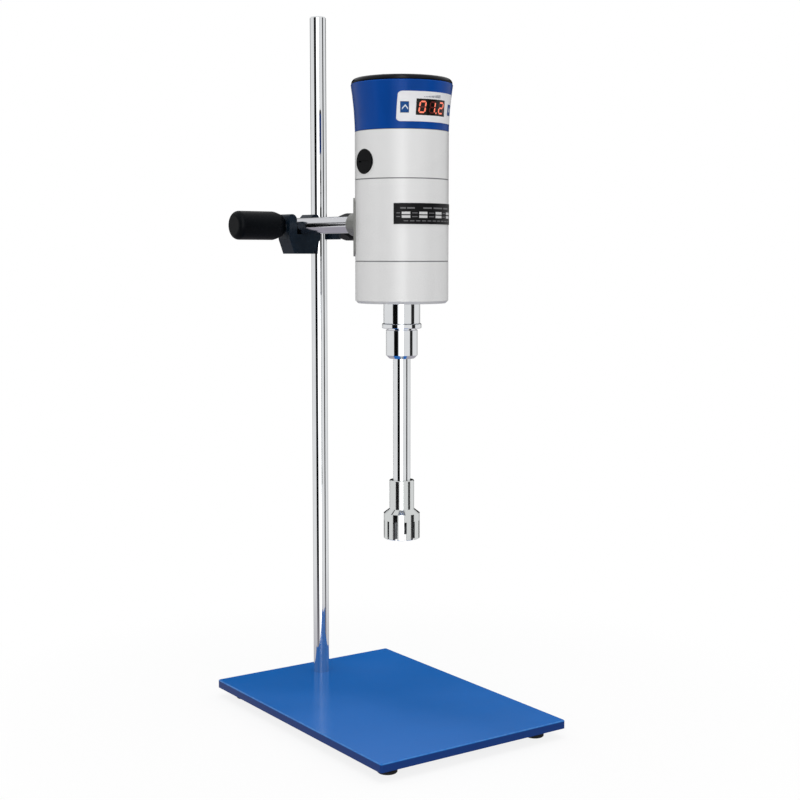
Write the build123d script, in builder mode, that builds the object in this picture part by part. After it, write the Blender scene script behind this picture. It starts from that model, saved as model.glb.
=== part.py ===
from build123d import *

import os
from math import cos, radians, sin, sqrt

# Rotor-stator homogenizer on a plate stand: a motor head with a dispersing tool, held on a
# side arm by a boss head that runs on an upright rod.
#
# Millimetres, +Z up. The part's origin is on the bench under the middle of the base plate,
# +X runs from the rod towards the head, +Y to the left of it.
# Pieces are drawn in one of three frames, and finish() sets each one in its place:
#   STAND  the part's own frame
#   CLAMP  on the rod's axis at the height of the arm, +X along the arm
#   HEAD   on the motor's axis at the underside of the housing, +X towards the control panel

# ---------------------------------------------------------------- driving dimensions

# fits and gaps
snug = 0.02            # radial gap of pieces that are pressed or screwed together
running = 0.05         # radial gap of a shaft that turns or slides in its hole
seat_gap = 0.15        # between a clamped rod and the faces of its hook
key_gap = 0.25         # around a push key

# base plate, feet and rod
plate_length = 300.0
plate_width = 208.0
plate_thickness = 8.0
plate_edge = 0.8       # chamfer round the top
foot_height = 9.0
foot_radius = 9.5
foot_inset = 20.5      # from the plate's edges to a foot's centre
foot_screw_radius = 2.0
rod_radius = 8.0
rod_length = 670.0
rod_inset = 33.2       # from the plate's back edge to the rod's axis
rod_screw_radius = 4.0
rod_screw_depth = 22.0

# arm and boss head
arm_radius = 8.0
arm_rise = 462.0       # arm's axis above the plate's top
crossing = 28.0        # between the rod's axis and the arm's axis
swing = 3.4            # arm's turn about the rod, degrees
reach = 172.0          # from the rod to the motor's axis, along the arm
arm_tail = 20.0        # arm behind the rod's axis
hook_front = 14.0      # casting's front face, ahead of the rod's axis
hook_back = 6.0        # arm hook's back face, behind the rod's axis
hook_top = 11.5
hook_under = 13.0      # rod hook's underside, below the arm's axis
hook_floor = 19.4      # metal under the arm
hook_draft = 5.5       # how much the block narrows towards its underside
arm_lobe = 9.0
rod_lobe = 13.0
rod_web = 6.0          # metal behind the rod
clamp_screw_radius = 4.0
clamp_screw_bite = 20.0
knob_radius = 14.0
knob_length = 57.0
knob_neck = 9.8        # side of the square where the knob meets its screw
knob_facet = 34.0      # slope of the knob's four facets, degrees
knob_gap = 1.0         # between knob and casting when tight

# housing of the motor head
housing_radius = 42.5
housing_wall = 3.0
lower_top = 38.0
middle_top = 111.0
upper_top = 154.0
control_top = 196.3
crown_radius = housing_radius + 3.8    # flared top of the control housing
crown_swell = 0.75     # how far the flare's middle stays inside a straight cone
lap = 4.0              # length of the lip that joins two housings
seam = 0.4             # chamfer at each joint
base_edge = 2.5
floor_thickness = 6.0
bolt_circle = housing_radius - 6.0
bolt_radius = 2.0
vent_count = 12
arm_level = 72.3       # arm's axis above the housing's underside

# control panel
panel_half_angle = 40.7
panel_low = 160.0
panel_high = 186.0
panel_sunk = 0.5
panel_proud = 0.3
button_angle = 34.9
button_width = 7.2
button_height = 9.2
button_proud = 0.6
button_travel = 0.4
button_level = 172.2
window_width = 32.0
window_height = 14.0
window_level = 172.6
window_depth = 1.0
window_ledge = 1.5
board_front = housing_radius - 14.5
board_width = 54.0
board_height = 31.0
board_thickness = 1.6

# rear of the head
plate_low = 70.8       # rating plate
plate_high = 89.2
plate_half_angle = 48.0
label_thickness = 0.5
saddle_low = 42.3
saddle_high = 95.3
saddle_half_angle = 60.0
saddle_thickness = 1.6
boss_radius = 11.0
boss_end = housing_radius + 30.5       # boss's end face, behind the motor's axis
set_screw_inset = 11.0
gland_level = 128.0
switch_level = 172.0
switch_pad = crown_radius + 0.7        # flat on the back of the control housing

# motor
shaft_radius = 5.0
journal_radius = 4.0
bearing_radius = 11.0
bearing_width = 7.0
lower_bearing_low = 14.0
upper_bearing_low = 139.5
core_low = 47.0
core_high = 99.0
core_radius = housing_radius - 3.2
armature_radius = 20.5
air_gap = 0.5
pole_half_width = 13.5
yoke = 4.8
fan_low = 24.0
fan_height = 9.0
fan_radius = 31.0
fan_blades = 9
commutator_radius = 12.5
commutator_low = 117.0
commutator_high = 135.0
brush_level = 126.3
brush_cap_radius = 11.0
holder_radius = 9.0
brush_width = 6.0
brush_height = 8.0

# nose and dispersing tool, measured down from the housing's underside
nose_radius = 16.85
nose_length = 18.7
nose_bore = 10.45
coupling_radius = 8.0
coupling_low = 12.0
tang_width = 3.9
ring_radius = 18.1
ring_height = 4.3
collar_radius = 14.55
collar_top = 24.4
collar_bottom = 50.7
collar_edge = 3.0
tube_radius = 8.0
tube_wall = 1.2
tube_end = 163.3
tool_shaft_radius = 3.0
sleeve_radius = 11.45
sleeve_end = 190.0
stator_radius = 16.7
stator_wall = 2.5
stator_shoulder = 194.0
stator_end = 217.7
stator_slots = 12
slot_phase = 3.8       # first slot's direction from the panel's, degrees
slot_width = 2.3
slot_length = 17.0
rotor_gap = 0.4
rotor_wall = 3.0
rotor_slots = 6
rotor_recess = 1.0

# ---------------------------------------------------------------- frames and helpers

plate_top = foot_height + plate_thickness
arm_height = plate_top + arm_rise
rod_x = rod_inset - plate_length / 2

STAND = Location((0, 0, 0))
CLAMP = Location((rod_x, 0, arm_height), (0, 0, swing))
HEAD = CLAMP * Location((reach, -crossing, -arm_level))

UP = (Align.CENTER, Align.CENTER, Align.MIN)
DOWN = (Align.CENTER, Align.CENTER, Align.MAX)

bore_radius = housing_radius - housing_wall
back = 180.0           # direction of the head's rear, degrees from its front


def finish(piece, label, place):
    """Set a finished piece in its place, label it and write its STEP file."""
    placed = place * piece.part
    placed.label = label
    export_step(placed, f"parts/{label}.step")


def radial(angle, level, distance=0.0):
    """A plane whose normal points outwards from the motor's axis, with its X upright."""
    out = (cos(radians(angle)), sin(radians(angle)), 0)
    origin = (distance * out[0], distance * out[1], level)
    return Plane(origin=origin, x_dir=(0, 0, 1), z_dir=out)


def turned(points, mode=Mode.ADD):
    """Revolve the closed outline through (radius, height) points about the Z axis."""
    with BuildSketch(Plane.XZ) as half:
        with BuildLine():
            Polyline(*points, close=True)
        make_face()
    revolve(half.sketch, axis=Axis.Z, mode=mode)


def ring(inner, outer, low, high, mode=Mode.ADD):
    """A plain ring, or a disc where inner is 0, round the Z axis."""
    with BuildSketch(Plane.XY.offset(low)) as section:
        Circle(outer)
        if inner:
            Circle(inner, mode=Mode.SUBTRACT)
    extrude(section.sketch, amount=high - low, mode=mode)


def bar(plane, radius, length, mode=Mode.ADD):
    """A round bar that starts on a plane and runs along its normal."""
    with BuildSketch(plane) as section:
        Circle(radius)
    extrude(section.sketch, amount=length, mode=mode)


def prism(plane, width, height, length, corner=0.0, mode=Mode.ADD):
    """A block that starts on a plane and runs along its normal: height along the plane's X."""
    with BuildSketch(plane) as section:
        if corner:
            RectangleRounded(height, width, corner)
        else:
            Rectangle(height, width)
    extrude(section.sketch, amount=length, mode=mode)


os.makedirs("parts", exist_ok=True)

# ---------------------------------------------------------------- base plate, feet and rod

foot_spots = GridLocations(
    plate_length - 2 * foot_inset, plate_width - 2 * foot_inset, 2, 2
)
screw_head = 2.4 * foot_screw_radius
foot_recess = 3.0      # depth of the screw's pocket from the bench
foot_screw_head = 1.8
blind_end = 3.0        # plate left above the end of the foot screw
countersink = 2.2 * rod_screw_radius

with BuildPart() as base_plate:
    with BuildSketch(Plane.XY.offset(foot_height)):
        Rectangle(plate_length, plate_width)
    extrude(amount=plate_thickness)
    upright = base_plate.edges().filter_by(Axis.Z)
    fillet(upright, radius=2.0)
    chamfer(base_plate.faces().sort_by(Axis.Z)[-1].edges(), length=plate_edge)
    with BuildSketch(Plane.XY.offset(foot_height)):
        with foot_spots:
            Circle(foot_screw_radius + snug)
    extrude(amount=plate_thickness - 2, mode=Mode.SUBTRACT)
    with Locations(Plane.XY.offset(foot_height).location * Pos(rod_x, 0, 0)):
        Cylinder(rod_screw_radius + snug, plate_thickness, align=UP, mode=Mode.SUBTRACT)
        Cone(countersink + snug, rod_screw_radius + snug, countersink - rod_screw_radius,
             align=UP, mode=Mode.SUBTRACT)
finish(base_plate, "base_plate", STAND)

with BuildPart() as rubber_feet:
    with foot_spots:
        Cone(foot_radius - 0.7, foot_radius, foot_height, align=UP)
        Cylinder(screw_head + 0.3, foot_recess, align=UP, mode=Mode.SUBTRACT)
        Cylinder(foot_screw_radius + snug, foot_height, align=UP, mode=Mode.SUBTRACT)
    rims = rubber_feet.edges().filter_by(GeomType.CIRCLE).group_by(Axis.Z)[0]
    chamfer(rims.group_by(SortBy.RADIUS)[-1], length=0.6)
finish(rubber_feet, "rubber_feet", STAND)

with BuildPart() as foot_screws:
    with BuildSketch(Plane.XY.offset(foot_recess)):
        with foot_spots:
            Circle(foot_screw_radius)
    extrude(amount=plate_top - blind_end - foot_recess)
    with BuildSketch(Plane.XY.offset(foot_recess - foot_screw_head)):
        with foot_spots:
            Circle(screw_head)
    extrude(amount=foot_screw_head)
finish(foot_screws, "foot_screws", STAND)

with BuildPart() as rod_screw:
    with Locations((rod_x, 0, foot_height)):
        Cone(countersink, rod_screw_radius, countersink - rod_screw_radius, align=UP)
        Cylinder(rod_screw_radius, plate_thickness + rod_screw_depth - 2, align=UP)
    with BuildSketch(Plane.XY.offset(foot_height)):
        with Locations((rod_x, 0)):
            RegularPolygon(3.0, 6)
    extrude(amount=3.0, mode=Mode.SUBTRACT)
finish(rod_screw, "rod_screw", STAND)

with BuildPart() as support_rod:
    with Locations((rod_x, 0, plate_top)):
        Cylinder(rod_radius, rod_length, align=UP)
        Cylinder(rod_screw_radius + running, rod_screw_depth, align=UP, mode=Mode.SUBTRACT)
    rims = support_rod.faces().sort_by(Axis.Z)[-1].edges()
    chamfer(rims, length=1.2)
finish(support_rod, "support_rod", STAND)

# ---------------------------------------------------------------- boss head

arm_side = -crossing - arm_radius - seat_gap      # lobe face that the arm lies against
web_side = -crossing + arm_radius + seat_gap      # web face on the arm's other side
rod_side = rod_radius + seat_gap
lobe_side = arm_side - arm_lobe
seat_floor = -arm_radius - seat_gap
block_bottom = seat_floor - hook_floor
arm_screw_x = (hook_front - hook_back) / 2

with BuildPart() as boss_head_body:
    # hook that opens upwards round the arm
    with BuildSketch(Plane.YZ.offset(-hook_back)) as arm_hook:
        with BuildLine():
            Polyline(
                (lobe_side, hook_top),
                (arm_side, hook_top),
                (arm_side, seat_floor),
                (web_side, seat_floor),
                (web_side, hook_top),
                (-rod_side, hook_top),
                (-rod_side, -hook_under),
                (-rod_side - 1.6 * hook_draft, block_bottom),
                (lobe_side + hook_draft, block_bottom),
                (lobe_side, -hook_under),
                close=True,
            )
        make_face()
        # in this sketch X is sideways and Y is upwards
        top_tips = arm_hook.vertices().filter_by(lambda v: v.Y > hook_top - 1).sort_by(Axis.X)
        fillet(top_tips[0], radius=0.3 * arm_lobe)
        fillet(arm_hook.vertices().filter_by(
            lambda v: v.Y > hook_top - 1 and abs(v.X - arm_side) < 1), radius=0.62 * arm_lobe)
        chamfer(arm_hook.vertices().filter_by(
            lambda v: v.Y > hook_top - 1 and v.X > web_side - 1), length=3.5)
    extrude(amount=hook_back + hook_front)
    # hook that opens forwards round the rod
    with BuildSketch(Plane.XY.offset(-hook_under)) as rod_hook:
        with BuildLine():
            Polyline(
                (-rod_side - rod_web, web_side + 8),
                (-hook_back, web_side),
                (hook_front, web_side),
                (hook_front, -rod_side),
                (-rod_side, -rod_side),
                (-rod_side, rod_side),
                (hook_front - 2, rod_side),
                (hook_front - 2, rod_side + rod_lobe),
                (-rod_side - rod_web, rod_side + rod_lobe),
                close=True,
            )
        make_face()
        lobe_corners = rod_hook.vertices().filter_by(
            lambda v: v.Y > rod_side + rod_lobe - 1)
        fillet(lobe_corners, radius=0.4 * rod_lobe)
    extrude(amount=hook_under + hook_top - 3.5)
    # tapped holes of the two clamp screws
    bar(Plane(origin=(arm_screw_x, arm_side + 1, 0), z_dir=(0, -1, 0)),
        clamp_screw_radius + running, arm_lobe + 2, mode=Mode.SUBTRACT)
    bar(Plane(origin=(0, rod_side - 1, 0), z_dir=(0, 1, 0)),
        clamp_screw_radius + running, rod_lobe + 2, mode=Mode.SUBTRACT)
finish(boss_head_body, "boss_head_body", CLAMP)


def clamp_screw(lobe):
    """The screw of a clamp, its tip at the origin and its axis along +Z."""
    with BuildPart() as screw:
        Cylinder(clamp_screw_radius, lobe + knob_gap + clamp_screw_bite, align=UP)
        chamfer(screw.faces().sort_by(Axis.Z)[0].edges(), length=1.0)
    return screw


def clamp_knob():
    """A moulded knob, its neck at the origin: a round grip cut by four sloping facets."""
    with BuildPart() as knob:
        Cylinder(knob_radius, knob_length, align=UP)
        fillet(knob.faces().sort_by(Axis.Z)[-1].edges(), radius=0.4 * knob_radius)
        with BuildSketch():
            Rectangle(knob_neck, knob_neck)
        extrude(amount=knob_length, taper=-knob_facet, mode=Mode.INTERSECT)
        Cylinder(clamp_screw_radius + snug, clamp_screw_bite + snug, align=UP,
                 mode=Mode.SUBTRACT)
    return knob


arm_screw_plane = Plane(
    origin=(arm_screw_x, arm_side + seat_gap, 0), x_dir=(1, 0, 0), z_dir=(0, -1, 0))
rod_screw_plane = Plane(
    origin=(0, rod_side - seat_gap, 0), x_dir=(1, 0, 0), z_dir=(0, 1, 0))
tip_gap = Pos(0, 0, running)
for side, plane, lobe in (
    ("arm", arm_screw_plane, arm_lobe + seat_gap),
    ("rod", rod_screw_plane, rod_lobe + seat_gap),
):
    screw_place = CLAMP * plane.location * tip_gap
    finish(clamp_screw(lobe), f"{side}_clamp_screw", screw_place)
    finish(clamp_knob(), f"{side}_clamp_knob", screw_place * Pos(0, 0, lobe + knob_gap))

# ---------------------------------------------------------------- arm and its seat on the head

arm_bore_end = housing_radius + saddle_thickness + 2.0
arm_length = arm_tail + reach - arm_bore_end - 1.0

with BuildPart() as support_arm:
    bar(Plane(origin=(-arm_tail, -crossing, 0), z_dir=(1, 0, 0)), arm_radius, arm_length)
    chamfer(support_arm.edges().filter_by(GeomType.CIRCLE), length=0.8)
finish(support_arm, "support_arm", CLAMP)

saddle_radius = housing_radius + saddle_thickness
saddle_width = 2 * saddle_radius * sin(radians(saddle_half_angle))
saddle_middle = (saddle_low + saddle_high) / 2
saddle_screw_spots = [
    (back + side * 34.0, saddle_middle + rise)
    for side in (-1, 1)
    for rise in (-18.0, 18.0)
]
saddle_screw_radius = 2.0

with BuildPart() as rear_saddle:
    ring(housing_radius + snug, saddle_radius, saddle_low, saddle_high)
    prism(radial(back, saddle_middle), saddle_width, saddle_high - saddle_low,
          saddle_radius, corner=6.0, mode=Mode.INTERSECT)
    bar(radial(back, arm_level, saddle_radius - 1), boss_radius, boss_end - saddle_radius + 1)
    chamfer(rear_saddle.faces().sort_by(Axis.X)[0].edges(), length=0.8)
    bar(radial(back, arm_level, arm_bore_end), arm_radius + running, boss_end,
        mode=Mode.SUBTRACT)
    for angle, level in saddle_screw_spots:
        bar(radial(angle, level, housing_radius - 2), saddle_screw_radius + snug, 10,
            mode=Mode.SUBTRACT)
    with Locations((set_screw_inset - boss_end, 0, arm_level)):
        Cylinder(3 + snug, 2 * boss_radius, align=DOWN, mode=Mode.SUBTRACT)
finish(rear_saddle, "rear_saddle", HEAD)

with BuildPart() as saddle_screws:
    for angle, level in saddle_screw_spots:
        bar(radial(angle, level, bore_radius + 0.3), saddle_screw_radius,
            saddle_radius - bore_radius)
        bar(radial(angle, level, saddle_radius + 0.2), 1.9 * saddle_screw_radius, 1.2)
finish(saddle_screws, "saddle_screws", HEAD)

with BuildPart() as arm_set_screw:
    with Locations((set_screw_inset - boss_end, 0, arm_level - arm_radius - running)):
        Cylinder(3.0, boss_radius - arm_radius - 0.4, align=DOWN)
finish(arm_set_screw, "arm_set_screw", HEAD)

# ---------------------------------------------------------------- housings of the motor

lip_radius = (bore_radius + housing_radius) / 2
bolt_spots = PolarLocations(bolt_circle, 3, start_angle=60)
column_radius = bore_radius - bolt_circle - running
ledge_low = lower_top + lap + 1.2
hub_radius = bearing_radius + 4.0
hub_top = lower_bearing_low + bearing_width + 1.0
spigot_radius = nose_bore + 3.5
vent_middle = 24.0


def shell(low, high, edge=seam, socket=True):
    """Revolve a tubular housing with a lip at its top and a socket for one at its bottom."""
    outline = [
        (housing_radius - edge, low),
        (housing_radius, low + edge),
        (housing_radius, high - seam),
        (housing_radius - seam, high),
        (lip_radius - running, high),
        (lip_radius - running, high + lap),
        (bore_radius, high + lap),
    ]
    if socket:
        step = low + lap + running
        outline += [(bore_radius, step), (lip_radius + running, step), (lip_radius + running, low)]
    else:
        outline += [(bore_radius, low)]
    turned(outline)


with BuildPart() as lower_housing:
    shell(0, lower_top, edge=base_edge, socket=False)
    ring(spigot_radius + snug, bore_radius, 0, floor_thickness)
    ring(coupling_radius + 1.5, hub_radius, floor_thickness, lower_bearing_low)
    ring(bearing_radius + snug, hub_radius, lower_bearing_low, hub_top)
    with BuildSketch(Plane.XY.offset(floor_thickness)):
        with PolarLocations((hub_radius + bore_radius) / 2, 6):
            Rectangle(bore_radius - hub_radius + 1, 2.5)
    extrude(amount=8.0)
    with BuildSketch(Plane.XY.offset(floor_thickness)):
        with bolt_spots:
            Circle(column_radius)
    extrude(amount=ledge_low - floor_thickness)
    with BuildSketch():
        with PolarLocations(vent_middle, vent_count, start_angle=180 / vent_count):
            SlotOverall(11, 3)
    extrude(amount=floor_thickness, mode=Mode.SUBTRACT)
    with BuildSketch():
        with bolt_spots:
            Circle(bolt_radius + snug)
    extrude(amount=ledge_low, mode=Mode.SUBTRACT)
    with BuildSketch():
        with bolt_spots:
            Circle(2 * bolt_radius + 0.2)
    extrude(amount=3.0, mode=Mode.SUBTRACT)
finish(lower_housing, "lower_housing", HEAD)

with BuildPart() as middle_housing:
    shell(lower_top, middle_top)
    ring(bolt_circle - bolt_radius - 0.4, bore_radius + 1, ledge_low, core_low)
    for angle, level in saddle_screw_spots:
        bar(radial(angle, level, bore_radius - 2), saddle_screw_radius + snug, 8,
            mode=Mode.SUBTRACT)
    with BuildSketch(Plane.XY.offset(ledge_low)):
        with bolt_spots:
            Circle(bolt_radius + snug)
    extrude(amount=core_low - ledge_low, mode=Mode.SUBTRACT)
finish(middle_housing, "middle_housing", HEAD)

with BuildPart() as housing_bolts:
    with BuildSketch(Plane.XY.offset(1.0)):
        with bolt_spots:
            Circle(2 * bolt_radius)
    extrude(amount=2.0)
    with BuildSketch(Plane.XY.offset(3.0)):
        with bolt_spots:
            Circle(bolt_radius)
    extrude(amount=core_low - 3.4)
    with BuildSketch(Plane.XY.offset(1.0)):
        with bolt_spots:
            RegularPolygon(1.7, 6)
    extrude(amount=1.4, mode=Mode.SUBTRACT)
finish(housing_bolts, "housing_bolts", HEAD)

brush_sides = (-90.0, 90.0)
cap_face = housing_radius + 0.4
cap_thickness = 3.4
holder_outer = cap_face - cap_thickness
holder_inner = commutator_radius + 4.0
guide_inner = 27.0
bracket_low = upper_bearing_low + 2.5
bracket_ledge = bracket_low - 2.6
bracket_spots = PolarLocations(bore_radius - 2.2, 3)
gland_face = housing_radius - 0.9
gland_thread = 6.0
rear_vents = [back + side * step for side in (-1, 1) for step in (24.0, 32.0, 40.0)]

with BuildPart() as upper_housing:
    shell(middle_top, upper_top)
    ring(bore_radius - 4.0, bore_radius + 1, bracket_ledge, bracket_low)
    for side in brush_sides:
        bar(radial(side, brush_level, guide_inner), holder_radius + 2,
            bore_radius - guide_inner + 1)
    for side in brush_sides:
        bar(radial(side, brush_level, guide_inner), holder_radius + snug, housing_radius,
            mode=Mode.SUBTRACT)
        bar(radial(side, brush_level, holder_outer), brush_cap_radius + 0.1, 10,
            mode=Mode.SUBTRACT)
    for angle in rear_vents:
        prism(radial(angle, gland_level, bore_radius - 1), 2.6, 15, 8, corner=1.29,
              mode=Mode.SUBTRACT)
    bar(radial(back, gland_level, bore_radius - 2), gland_thread + snug, 10, mode=Mode.SUBTRACT)
    bar(radial(back, gland_level, gland_face), gland_thread + 3.6, 10, mode=Mode.SUBTRACT)
    with BuildSketch(Plane.XY.offset(bracket_ledge)):
        with bracket_spots:
            Circle(1.25)
    extrude(amount=bracket_low - bracket_ledge, mode=Mode.SUBTRACT)
finish(upper_housing, "upper_housing", HEAD)

with BuildPart() as cable_gland:
    bar(radial(back, gland_level, bore_radius - 4), gland_thread, gland_face - bore_radius + 4)
    with BuildSketch(radial(back, gland_level, gland_face)):
        RegularPolygon(gland_thread + 3.2, 6)
    extrude(amount=4.0)
    bar(radial(back, gland_level, gland_face + 4), gland_thread + 2, 9)
    chamfer(cable_gland.faces().sort_by(Axis.X)[0].edges(), length=2.5)
    bar(radial(back, gland_level, gland_face - 6), 3.3, 30, mode=Mode.SUBTRACT)
    with BuildSketch(radial(back, gland_level, bore_radius - 3.4)):
        RegularPolygon(gland_thread + 2.6, 6)
        Circle(gland_thread + snug, mode=Mode.SUBTRACT)
    extrude(amount=2.4)
finish(cable_gland, "cable_gland", HEAD)

# ---------------------------------------------------------------- control housing and cover

flare_middle = (upper_top + control_top) / 2
flare_rise = crown_radius - housing_radius
button_sides = (("up_button", -button_angle), ("down_button", button_angle))
panel_width = 2 * crown_radius * sin(radians(panel_half_angle))
panel_height = panel_high - panel_low
panel_plane = radial(0, (panel_low + panel_high) / 2, 15)
window_plane = radial(0, window_level, 15)
cover_spots = PolarLocations(crown_radius - 7.0, 3, start_angle=60)
cover_screw_radius = 1.5
pillar_radius = 3.6
stand_offs = [(side * 12.0, level) for side in (-1, 1) for level in (161.0, 184.0)]
switch_height = 21.0
switch_width = 15.0
switch_body_height = 19.0
switch_body_width = 13.0
switch_depth = 13.0


def flare(inner, outer, mode=Mode.ADD):
    """Revolve a band of the flared wall, between two offsets from its outer surface."""
    def line(offset, low, high):
        return ThreePointArc(
            (housing_radius + offset, low),
            (housing_radius + flare_rise / 2 - crown_swell + offset, flare_middle),
            (crown_radius + offset, high),
        )
    with BuildSketch(Plane.XZ) as half:
        with BuildLine():
            inside = line(inner, upper_top, control_top)
            outside = line(outer, upper_top, control_top)
            Line(inside @ 0, outside @ 0)
            Line(inside @ 1, outside @ 1)
        make_face()
    revolve(half.sketch, axis=Axis.Z, mode=mode)


def patch(inner, outer, plane, width, height, corner=0.0):
    """A piece of the flared wall, between two offsets, as wide and tall as a block through it."""
    with BuildPart() as piece:
        flare(inner, outer)
        prism(plane, width, height, crown_radius, corner=corner, mode=Mode.INTERSECT)
    return piece


def window_patch(inner, outer, inset):
    """The display's window, narrower all round by inset."""
    return patch(inner, outer, window_plane, window_width - 2 * inset,
                 window_height - 2 * inset)


button_radius = housing_radius + flare_rise * (button_level - upper_top) / (
    control_top - upper_top) - crown_swell
button_base = 1.1      # underside of a key below the flared surface
button_stem = 1.8
key_pockets = {
    angle: patch(-button_base - button_travel - key_gap, 3,
                 radial(angle, button_level, board_front), button_width + 2 * key_gap,
                 button_height + 2 * key_gap)
    for _, angle in button_sides
}
panel_pocket = patch(-panel_sunk, 3, panel_plane, panel_width, panel_height, corner=3.0)
window_pocket = window_patch(-window_depth, 3, 0)

with BuildPart() as control_housing:
    flare(-housing_wall, 0)
    rims = control_housing.edges().filter_by(GeomType.CIRCLE)
    chamfer(rims.group_by(Axis.Z)[0].sort_by(SortBy.RADIUS)[-1], length=seam)
    fillet(rims.group_by(Axis.Z)[-1].sort_by(SortBy.RADIUS)[-1], radius=1.2)
    prism(radial(back, switch_level, crown_radius - housing_wall - 1.5), switch_width + 3,
          switch_height + 3, switch_pad - crown_radius + housing_wall + 1.5, corner=2.0)
    ring(bore_radius, lip_radius + running, upper_top, upper_top + lap + running,
         mode=Mode.SUBTRACT)
    with BuildSketch(Plane.XY.offset(control_top - 10)):
        with cover_spots:
            Circle(pillar_radius)
    extrude(amount=10)
    for y, level in stand_offs:
        bar(Plane(origin=(board_front, y, level), z_dir=(1, 0, 0)), 2.2, 13)
    prism(radial(back, switch_level, 30), switch_body_width + 0.1, switch_body_height + 0.1, 30,
          mode=Mode.SUBTRACT)
    with BuildSketch(Plane.XY.offset(control_top - 10)):
        with cover_spots:
            Circle(cover_screw_radius + snug)
    extrude(amount=10, mode=Mode.SUBTRACT)
    add(panel_pocket.part, mode=Mode.SUBTRACT)
    add(window_pocket.part, mode=Mode.SUBTRACT)
    prism(window_plane, window_width - 2 * window_ledge, window_height - 2 * window_ledge, 50,
          mode=Mode.SUBTRACT)
    for _, angle in button_sides:
        add(key_pockets[angle].part, mode=Mode.SUBTRACT)
        bar(radial(angle, button_level, board_front), button_stem + key_gap, housing_radius,
            mode=Mode.SUBTRACT)
finish(control_housing, "control_housing", HEAD)

with BuildPart() as panel_fascia:
    add(patch(-panel_sunk + snug, panel_proud, panel_plane, panel_width - 0.1,
              panel_height - 0.1, corner=3.0).part)
    prism(window_plane, window_width + 0.1, window_height + 0.1, 50, mode=Mode.SUBTRACT)
    for _, angle in button_sides:
        prism(radial(angle, button_level, 30), button_width + 2 * key_gap,
              button_height + 2 * key_gap, 30, mode=Mode.SUBTRACT)
finish(panel_fascia, "panel_fascia", HEAD)

finish(window_patch(-window_depth + snug, panel_proud - 0.1, snug), "display_window", HEAD)

for label, angle in button_sides:
    with BuildPart() as button:
        add(patch(-button_base, button_proud, radial(angle, button_level, 15), button_width,
                  button_height).part)
        bar(radial(angle, button_level, button_radius - 3.8), button_stem, 3.6)
    finish(button, label, HEAD)

cover_lip = crown_radius - housing_wall - 0.7
cover_seam = control_top + 0.3
cover_edge = crown_radius - 0.6
cover_shoulder = crown_radius - 5.3
cover_shoulder_rise = 4.3
cover_rise = 7.0
cover_wall = 2.5
dome_height = cover_rise - cover_shoulder_rise
dome_radius = (cover_shoulder**2 + dome_height**2) / (2 * dome_height)
dome_centre = cover_seam + cover_rise - dome_radius

with BuildPart() as top_cover:
    with BuildSketch(Plane.XZ):
        with BuildLine():
            rim = Line((cover_lip - 1.6, control_top - 3), (cover_lip, control_top - 3))
            lip = Line(rim @ 1, (cover_lip, cover_seam))
            step = Line(lip @ 1, (cover_edge, cover_seam))
            shoulder = ThreePointArc(
                step @ 1,
                (cover_edge - 1.3, cover_seam + 0.72 * cover_shoulder_rise),
                (cover_shoulder, cover_seam + cover_shoulder_rise),
            )
            dome = ThreePointArc(
                shoulder @ 1,
                (cover_shoulder / 2, dome_centre + sqrt(dome_radius**2 - cover_shoulder**2 / 4)),
                (0, cover_seam + cover_rise),
            )
            axis = Line(dome @ 1, (0, cover_seam + cover_rise - cover_wall))
            under = Line(axis @ 1, (cover_shoulder - 4, cover_seam + cover_shoulder_rise - cover_wall))
            Polyline(under @ 1, (cover_lip - 1.6, cover_seam - 0.6), rim @ 0)
        make_face()
    revolve(axis=Axis.Z)
    with BuildSketch(Plane.XY.offset(control_top - 4)):
        with cover_spots:
            Circle(pillar_radius + 0.2)
    extrude(amount=4.0, mode=Mode.SUBTRACT)
    with BuildSketch(Plane.XY.offset(control_top + snug)):
        with cover_spots:
            Circle(pillar_radius)
    extrude(amount=4.0)
    with BuildSketch(Plane.XY.offset(control_top)):
        with cover_spots:
            Circle(cover_screw_radius + snug)
    extrude(amount=10, mode=Mode.SUBTRACT)
    with BuildSketch(Plane.XY.offset(control_top + 3.0)):
        with cover_spots:
            Circle(2 * cover_screw_radius + 0.15)
    extrude(amount=10, mode=Mode.SUBTRACT)
finish(top_cover, "top_cover", HEAD)

with BuildPart() as cover_screws:
    with BuildSketch(Plane.XY.offset(control_top - 7)):
        with cover_spots:
            Circle(cover_screw_radius)
    extrude(amount=10)
    with BuildSketch(Plane.XY.offset(control_top + 3 + snug)):
        with cover_spots:
            Circle(2 * cover_screw_radius)
    extrude(amount=1.6)
    with BuildSketch(Plane.XY.offset(control_top + 3.8)):
        with cover_spots:
            Rectangle(3.6, 0.7)
            Rectangle(0.7, 3.6)
    extrude(amount=2, mode=Mode.SUBTRACT)
finish(cover_screws, "cover_screws", HEAD)

with BuildPart() as rating_plate:
    ring(housing_radius + snug, housing_radius + label_thickness, plate_low, plate_high)
    prism(radial(0, (plate_low + plate_high) / 2), 2 * housing_radius
          * sin(radians(plate_half_angle)), plate_high - plate_low, 60, mode=Mode.INTERSECT)
finish(rating_plate, "rating_plate", HEAD)

# ---------------------------------------------------------------- electronics of the head

display_front = housing_radius - 2.9
display_plane = Plane(origin=(board_front + snug, 0, window_level), x_dir=(0, 0, 1),
                      z_dir=(1, 0, 0))

with BuildPart() as display_module:
    prism(display_plane, window_width - 2 * window_ledge - 0.6,
          window_height - 2 * window_ledge - 0.4, display_front - board_front)
finish(display_module, "display_module", HEAD)

board_plane = Plane(origin=(board_front, 0, window_level + 0.4), x_dir=(0, 0, 1),
                    z_dir=(-1, 0, 0))

with BuildPart() as control_board:
    prism(board_plane, board_width, board_height, board_thickness, corner=2.0)
finish(control_board, "control_board", HEAD)

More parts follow.
